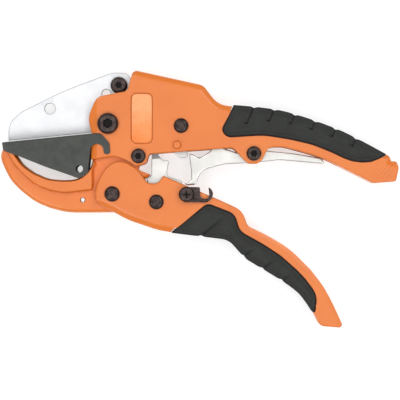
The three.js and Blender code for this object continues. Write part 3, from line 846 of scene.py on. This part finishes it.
def grip(name, node, body, grooves, notches):
    """Moulded grip: rounded rim, a fine bead inside it, curved finger grooves and notches in its edge."""
    rim = section(node, GRIP_LEVEL)[0]
    outline = offset(drawn_smooth(rim), 0.05)
    edge, bead, groove_depth = 1.9, 2.7, 0.95
    bite = sum(0.75 * np.exp(-(np.hypot(*(outline - spot).T) / 1.5) ** 2) for spot in notches)
    outline = outline + inward(outline) * bite[:, None]

    def grooved(p):
        return sum(groove(p, a, b, width, groove_depth) for a, b, width in grooves)

    def face(p, distance, _):
        beading = 0.32 * np.exp(-(((distance - bead) / 0.4) ** 2))
        return rounded_edge(distance, edge) + beading + grooved(p)

    marks = []
    for a, b, width in grooves:
        side = np.array([a[1] - b[1], b[0] - a[0]]) / np.hypot(*(b - a))
        run = np.linspace(0, 1, max(4, int(np.hypot(*(b - a)) / 0.5)))[:, None] * (b - a)
        marks += [a + run + side * shift * width for shift in (-0.9, -0.45, 0.0, 0.45, 0.9)]
    piece = slab(name, [outline], GRIP_LOW, GRIP_TOP, face, face, RUBBER,
                 rings=ring_set(edge, 2.3, 2.5, bead, 2.9, 3.2), marks=marks, step=1.3)
    piece = within(piece, node, [rim])
    # the rims and the grooves carry the rubber's painted shade
    mark_edges(piece, [outline], 1.6, grooved)
    place(piece, body, "grip_rubber", node)


def grips():
    """Both grips with their grooves: the upper one has six along its back, evenly spaced, each shorter
    than the last, and the lower one has four along its belly."""
    back = drawn_smooth(section("upper_grip", GRIP_LEVEL)[0])
    count, first, pitch, lean = 6, 95.4, 13.3, math.radians(24)
    grooves, notches = [], []
    for k in range(count):
        x = PIVOT[0] + first + pitch * k
        column = back[np.abs(back[:, 0] - x) < 0.6]
        top = column[column[:, 1].argmax()]
        length = 5.4 + 6.6 * 0.45**k
        foot = top + length * np.array([-math.sin(lean), -math.cos(lean)])
        grooves.append((top + np.array([0.4, 1.0]), foot, 0.8))
        grooves.append((foot, foot + np.array([-1.8, 0.5]), 0.8))
        notches.append(top)
    grip("upper_grip_rubber", "upper_grip", "frame", grooves, notches)
    heads = [at(74.2, -62.1), at(93.5, -82.5), at(107.0, -89.9), at(117.9, -98.9)]
    feet = [at(60.5, -73.1), at(88.1, -86.5), at(99.8, -94.9), at(112.5, -102.4)]
    grooves = [(foot, head, 1.2) for head, foot in zip(heads, feet)]
    grip("lower_grip_rubber", "lower_grip", "handle_unit", grooves, feet)


# ---------------------------------------------------------------- plates

def plate_piece(name, node, body, slot, material, level=None, edge=0.35, step=2.4, thinner=None):
    """A flat piece with its CAD outline made smooth and its edges broken all round. The outline is
    taken at a level, or half way up. thinner(points, distance, outward) is the depth of its faces
    where that is more than the edge's."""
    low, high = heights(node)
    cut = section(node, level or (low + high) / 2)[:1]
    outline = offset(drawn_smooth(cut[0], PLATE_STEP), 0.05)

    def face(p, distance, outward):
        depth = rounded_edge(distance, edge)
        return depth if thinner is None else np.maximum(depth, thinner(p, distance, outward))

    piece = slab(name, [outline], low, high, face, face, material,
                 rings=[edge * 0.3, edge, edge * 1.6], step=step, smooth_angle=30)
    piece = within(piece, node, cut, 30)
    mark_edges(piece, [outline], 0.8)
    return place(piece, body, slot, node)


def directions(tip, heel):
    """Unit direction from a tip to a heel, and the one a quarter turn to its left."""
    along = (heel - tip) / np.hypot(*(heel - tip))
    return along, np.array([-along[1], along[0]])


def blade():
    """Blade: flat plate with its cutting edge ground to a long wedge, and its edges lightly broken."""
    loops = [offset(drawn_smooth(loop, PLATE_STEP), 0.04) for loop in section("blade", MIDDLE)]
    low, high = heights("blade")
    tip = at(-65.6, -10.9)
    along, up = directions(tip, at(-11, -5.5))
    ground, ground_depth = 9.5, 1.05

    def face(p, distance, _):
        rise = (p - tip) @ up
        wedge = np.clip(ground - rise, 0, None) * (ground_depth / ground)
        edge = rounded_edge(distance, 0.25)
        depth = np.maximum(wedge, edge * (rise > ground)) + edge * (rise <= ground) * 0.3
        return np.minimum(depth, 1.12)

    line = np.arange(-2, 56, 0.9)[:, None] * along
    marks = [tip + line + up * (ground + shift) for shift in (-0.15, 0.15)]
    piece = slab("blade_ground", loops, low, high, face, face, BLADE,
                 rings=[0.1, 0.25, 0.5], marks=marks, step=2.2, smooth_angle=5)
    mark_edges(piece, loops, 0.8)
    place(piece, "blade_unit", "blade_steel", "blade")


def anvil():
    """Flat anvil: folded dark sheet whose long back is a rounded fold."""
    cuts = section("flat_anvil", MIDDLE + 10.8)
    outline = offset(drawn_smooth(cuts[0], PLATE_STEP), 0.04)
    low, high = heights("flat_anvil")
    _, up = directions(at(-68.8, -12.2), at(-9.4, -6.3))
    edge, fold_radius = 0.3, 0.95

    def face(p, distance, outward):
        fold = smoothstep(outward @ up, 0.7, 0.95)
        return rounded_edge(distance, edge) * (1 - fold) + rounded_edge(distance, fold_radius) * fold

    piece = slab("anvil_sheet", [outline], low, high, face, face, SHEET,
                 rings=[0.05, 0.15, edge, 0.6, fold_radius, 1.4], step=2.4)
    piece = within(piece, "flat_anvil", cuts[:1])
    mark_edges(piece, cuts, 0.9)
    place(piece, "frame", "dark_sheet", "flat_anvil")


def beside_the_rib(p, *_):
    """The latch is pressed thinner everywhere but along a rib by its lower edge."""
    away, _ = segment_distance(p, at(56.5, -49.6), at(64.2, -50.0))
    return 0.45 * smoothstep(away, 0.45, 0.95)


def domed(_, distance, __):
    """The badge falls away towards its edge."""
    return 0.26 * (1 - smoothstep(distance, 0, 3.4))


def plates():
    """The pawls, ratchet sector, trigger, latch, badge, nut, sleeve and pin."""
    pawl_level = MIDDLE - 4.5
    plate_piece("drive_pawl_plate", "drive_pawl", "drive_pawl", "lever_steel", LEVER, pawl_level)
    plate_piece("holding_pawl_plate", "holding_pawl", "holding_pawl", "lever_steel", LEVER, pawl_level)
    plate_piece("ratchet_plate", "ratchet_sector", "blade_unit", "plain_steel", PLAIN)
    plate_piece("trigger_lever", "trigger", "trigger", "lever_steel", LEVER, edge=0.8, step=1.8)
    plate_piece("latch_plate", "latch_hook", "latch", "black_fastener", OXIDE, edge=0.5, step=0.6,
                thinner=beside_the_rib)
    plate_piece("badge_resin", "label_plate", "frame", "label", LABEL, edge=0.3, step=1.0, thinner=domed)
    plate_piece("main_nut", "pivot_nut", "frame", "black_fastener", OXIDE, edge=0.6, step=1.2)
    plate_piece("main_sleeve", "pivot_sleeve", "frame", "plain_steel", PLAIN, edge=0.3)
    low, high = heights("jaw_pin")
    pin = turned_piece("jaw_hole_pin", centre("jaw_pin")[:2], BLADE, [
        (0, high), (1.0, high), (1.3, high - 0.12), (1.45, high - 0.4), (1.45, low + 0.4),
        (1.3, low + 0.12), (1.0, low), (0, low),
    ])
    place(pin, "frame", "blade_steel", "jaw_pin")


def springs():
    """The four torsion springs, drawn again as smooth round wire."""
    spring("holding_spring_wire", "holding_pawl_spring", "frame", "holding_pawl_rivet", 0.6, (5, 6))
    spring("trigger_spring_wire", "trigger_spring", "frame", "trigger_screw", 0.5, (3, 4),
           turns=1, wire=0.3, levels=(5.1, 5.8))
    spring("handle_spring_wire", "handle_spring", "frame", "handle_pivot_rivet", 0.0, (1.5, 1.5))
    spring("drive_spring_wire", "drive_pawl_spring", "handle_unit", "drive_pawl_rivet", 0.4, (6, 7))


def spring(name, node, body, pin, start, legs, turns=2.75, wire=0.45, levels=(2.2, 5.3)):
    """A torsion spring: a round section swept along a straight leg, a coil about an upright pin and a
    second straight leg. Along the coil the angle and the level both rise evenly. The start is an angle
    in half turns, and the levels are above the blade's middle plane."""
    coil, sides = 3.7, 12
    first = start * math.pi
    last = first + turns * 2 * math.pi
    angle = np.linspace(first, last, int(turns * 40))
    rise = np.linspace(levels[0], levels[1], len(angle))
    path = np.stack([coil * np.cos(angle), coil * np.sin(angle), rise], 1)
    away = np.linspace(1, 0.08, 7)[:, None]
    leg_in = path[0] + away * legs[0] * np.array([math.sin(first), -math.cos(first), 0])
    leg_out = path[-1] + away[::-1] * legs[1] * np.array([-math.sin(last), math.cos(last), 0])
    path = np.vstack([leg_in, path, leg_out]) + [*centre(pin)[:2], MIDDLE]
    along = np.gradient(path, axis=0)
    along /= np.linalg.norm(along, axis=1)[:, None]
    side = np.cross(along, [0, 0, 1])
    side /= np.linalg.norm(side, axis=1)[:, None]
    up = np.cross(side, along)
    turn = np.linspace(0, 2 * math.pi, sides, endpoint=False)[None, :, None]
    rings = path[:, None] + (wire - 0.02) * (np.cos(turn) * side[:, None] + np.sin(turn) * up[:, None])
    index = np.arange(len(path) * sides).reshape(-1, sides)
    faces = tube_faces(index) + [index[0][::-1].tolist(), index[-1].tolist()]
    piece = facing_out(new_piece(name, rings.reshape(-1, 3), faces, PLAIN))
    return place(piece, body, "plain_steel", node)


# ---------------------------------------------------------------- turned pieces

def turned_piece(name, middle, material, profile, socket=None, sides=64):
    """A closed piece of revolution about an upright line, from (radius, level) or
    (radius, level, socket share) rows from its near end to its far end. Where the share is above 0 the
    circle is drawn in towards the socket's outline, a function of the angle."""
    rows = np.array([(*row, 0.0)[:3] for row in profile], float)
    angle = np.linspace(0, 2 * math.pi, sides, endpoint=False)
    shape = np.ones(sides) if socket is None else socket(angle)
    radius = rows[:, :1] * (1 + rows[:, 2:] * (shape[None, :] - 1))
    rings = np.stack([
        middle[0] + radius * np.cos(angle),
        middle[1] + radius * np.sin(angle),
        np.broadcast_to(rows[:, 1:2], radius.shape),
    ], 2)[rows[:, 0] > 1e-6]
    index = np.arange(len(rings) * sides).reshape(-1, sides)
    ends = np.array([[*middle[:2], rows[0, 1]], [*middle[:2], rows[-1, 1]]])
    points = np.vstack([rings.reshape(-1, 3), ends])
    near_end, far_end = np.full(sides, len(points) - 2), np.full(sides, len(points) - 1)
    faces = tube_faces(index)
    faces += np.stack([near_end, np.roll(index[0], -1), index[0]], 1).tolist()
    faces += np.stack([far_end, index[-1], np.roll(index[-1], -1)], 1).tolist()
    return facing_out(new_piece(name, points, faces, material))


def hexagon(angle):
    """A hexagon's reach along each angle, for a mean radius of 1."""
    return 0.95 / np.cos((angle + math.pi / 6) % (math.pi / 3) - math.pi / 6) * 0.97


def six_lobes(angle):
    """A six-lobed socket's reach along each angle."""
    return 1 + 0.16 * np.cos(6 * angle)


def cross_recess(angle):
    """A cross recess's reach along each angle: four narrow arms."""
    return 0.42 + 0.75 * np.abs(np.cos(2 * angle)) ** 5


def head_sizes(node):
    """A head's radius, its top and its shank's far end, and where the head sits."""
    low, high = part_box(node)
    return (high.x - low.x) / 2 / MM - 0.02, high.z / MM, low.z / MM, SEATS[node]


def screw(name, node, body, socket, socket_radius):
    """Button-head screw: socket, flat crown, rounded shoulder, thin rim and plain shank."""
    reach, top, end, seat = head_sizes(node)
    tall = top - seat
    s, shank = socket_radius, SHANKS[node]
    floor, crown, shoulder = top - 0.62 * tall, 0.62, 0.72
    profile = [
        (0, floor), (s * 0.5, floor, 1), (s * 0.96, top - 0.6 * tall, 1), (s, top - 0.57 * tall, 1),
        (s, top - 0.12, 1), (s * 1.06, top - 0.03, 0.9), (s * 1.16, top, 0.4),
        (reach * crown, top), (reach * shoulder, top - 0.04 * tall),
    ]
    for angle in np.linspace(0.35, math.pi / 2, 7):
        across = shoulder + (1 - shoulder) * math.sin(angle)
        profile.append((reach * across, seat + tall * (0.22 + 0.74 * math.cos(angle))))
    profile += [
        (reach, seat + 0.1 * tall), (reach * 0.97, seat), (shank + 0.3, seat),
        (shank, seat - 0.2), (shank, end + 0.3), (shank - 0.3, end), (0, end),
    ]
    piece = turned_piece(name, centre(node)[:2], OXIDE, profile, socket, sides=72)
    # the socket is marked for painted shade in the black oxide
    mark_socket_shade(piece, centre(node)[:2], 1.25 * s, top - 0.1)
    return place(piece, body, "black_fastener", node)


def mark_socket_shade(piece, middle, radius, level):
    """Gives the piece an attribute for painted shade that is 1 inside its socket: near its axis and just
    below a level.
    """
    x, y, z = mesh_points(piece.data).T
    inner = (np.hypot(x - middle[0], y - middle[1]) < radius) & (z < level) & (z > level - 2.6)
    store(piece, "hollow", inner)


def rivet(name, node, body):
    """Domed rivet: shallow centre dimple, round dome, thin rim, shank and flat far head."""
    reach, top, end, seat = head_sizes(node)
    far_seat = 2 * MIDDLE - seat
    shank = 2.5
    profile = [(0, top - 0.16), (0.25 * reach, top - 0.1), (0.36 * reach, top - 0.02),
               (0.46 * reach, top - 0.04)]
    for angle in np.linspace(0.55, math.pi / 2, 9):
        profile.append((reach * math.sin(angle), seat + 0.5 + (top - seat - 0.5) * math.cos(angle)))
    profile += [
        (reach, seat + 0.15), (reach * 0.96, seat), (shank + 0.3, seat), (shank, seat - 0.2),
        (shank, far_seat + 0.1), (shank + 0.1, far_seat), (reach * 0.96, far_seat),
        (reach, far_seat - 0.15), (reach, end + 0.3), (reach * 0.95, end + 0.05),
        (reach * 0.85, end), (0, end),
    ]
    piece = turned_piece(name, centre(node)[:2], OXIDE, profile)
    return place(piece, body, "black_fastener", node)


SEAT_GAP = 0.3                      # each head sits this far above the face under it
BODY_SEAT = BODY_TOP + SEAT_GAP
HANDLE_SEAT = HANDLE_TOP + SEAT_GAP
SEATS = {
    "pivot_bolt": BODY_SEAT,
    "jaw_screw": BODY_SEAT,
    "trigger_screw": BODY_SEAT,
    "holding_pawl_rivet": BODY_SEAT,
    "handle_pivot_rivet": HANDLE_SEAT,
    "drive_pawl_rivet": HANDLE_SEAT,
    "latch_screw": heights("latch_hook")[1] + SEAT_GAP,
    "blade_screw": heights("blade")[1] + SEAT_GAP,
}
SHANKS = {                          # radii
    "pivot_bolt": 4.0,
    "jaw_screw": 2.5,
    "trigger_screw": 2.5,
    "latch_screw": 2.5,
    "blade_screw": 3.0,
}


def fasteners():
    """Every screw and rivet, each on its own axis. The last number is the socket's radius."""
    screw("pivot_bolt_head", "pivot_bolt", "frame", hexagon, 3.1)
    screw("blade_screw_head", "blade_screw", "blade_unit", six_lobes, 2.0)
    screw("jaw_screw_head", "jaw_screw", "frame", six_lobes, 1.9)
    screw("trigger_screw_head", "trigger_screw", "frame", six_lobes, 1.9)
    screw("latch_screw_head", "latch_screw", "handle_unit", cross_recess, 2.2)
    rivet("holding_rivet", "holding_pawl_rivet", "frame")
    rivet("handle_rivet", "handle_pivot_rivet", "frame")
    rivet("drive_rivet", "drive_pawl_rivet", "handle_unit")


# ---------------------------------------------------------------- light, floor and camera

def area_light(name, place_at, size, power):
    """A square soft box that looks at the middle of the tool and isn't seen itself."""
    light = bpy.data.lights.new(name, "AREA")
    light.shape = "RECTANGLE"
    light.size, light.size_y = size, size
    light.energy = power
    holder = linked(name, light)
    holder.location = place_at
    holder.rotation_euler = (-Vector(place_at)).to_track_quat("-Z", "Y").to_euler()
    holder.visible_camera = False


def studio():
    """Pale sheet lit from behind, a weak soft box overhead for the steel to reflect, four stronger ones
    leaning in from the corners, and pale surroundings."""
    half, gap = 6.0, 0.02                       # of the floor in metres, and under the tool in mm
    corners = np.array([[-half, -half, 0], [half, -half, 0], [half, half, 0], [-half, half, 0]])
    floor = new_piece("floor", corners / MM - [0, 0, gap], [[0, 1, 2, 3]], studio_floor())
    overhead_power, rear_power, front_power = 3.7, 5.3, 6.1
    area_light("overhead", (0.0, 0.0, 1.6), 1.0, overhead_power)
    for name, x, y, power in (("rear_left", -1, 1, rear_power), ("rear_right", 1, 1, rear_power),
                              ("front_left", -1, -1, front_power), ("front_right", 1, -1, front_power)):
        area_light(name, (0.61 * x, 0.61 * y, 1.23), 0.7, power)
    world = bpy.data.worlds.new("surroundings")
    bpy.context.scene.world = world
    world.use_nodes = True
    background = world.node_tree.nodes["Background"].inputs
    background["Color"].default_value = (1.0, 1.0, 1.0, 1)
    background["Strength"].default_value = 0.30
    bpy.context.scene.view_settings.view_transform = "Standard"


def camera():
    """Straight above the tool, so near that walls facing the middle just show."""
    width, distance, plane = 0.260, 1.2, 0.0215         # of the picture, and the level it is measured at
    sensor = 36
    data = bpy.data.cameras.new("camera")
    data.sensor_width = sensor
    data.lens = sensor * distance / width
    data.clip_start = 0.01
    holder = linked("camera", data)
    holder.location = (0.00027, -0.00062, plane + distance)
    bpy.context.scene.camera = holder


camera()
studio()
housing()
jaw()
handle()
grips()
blade()
anvil()
plates()
springs()
fasteners()
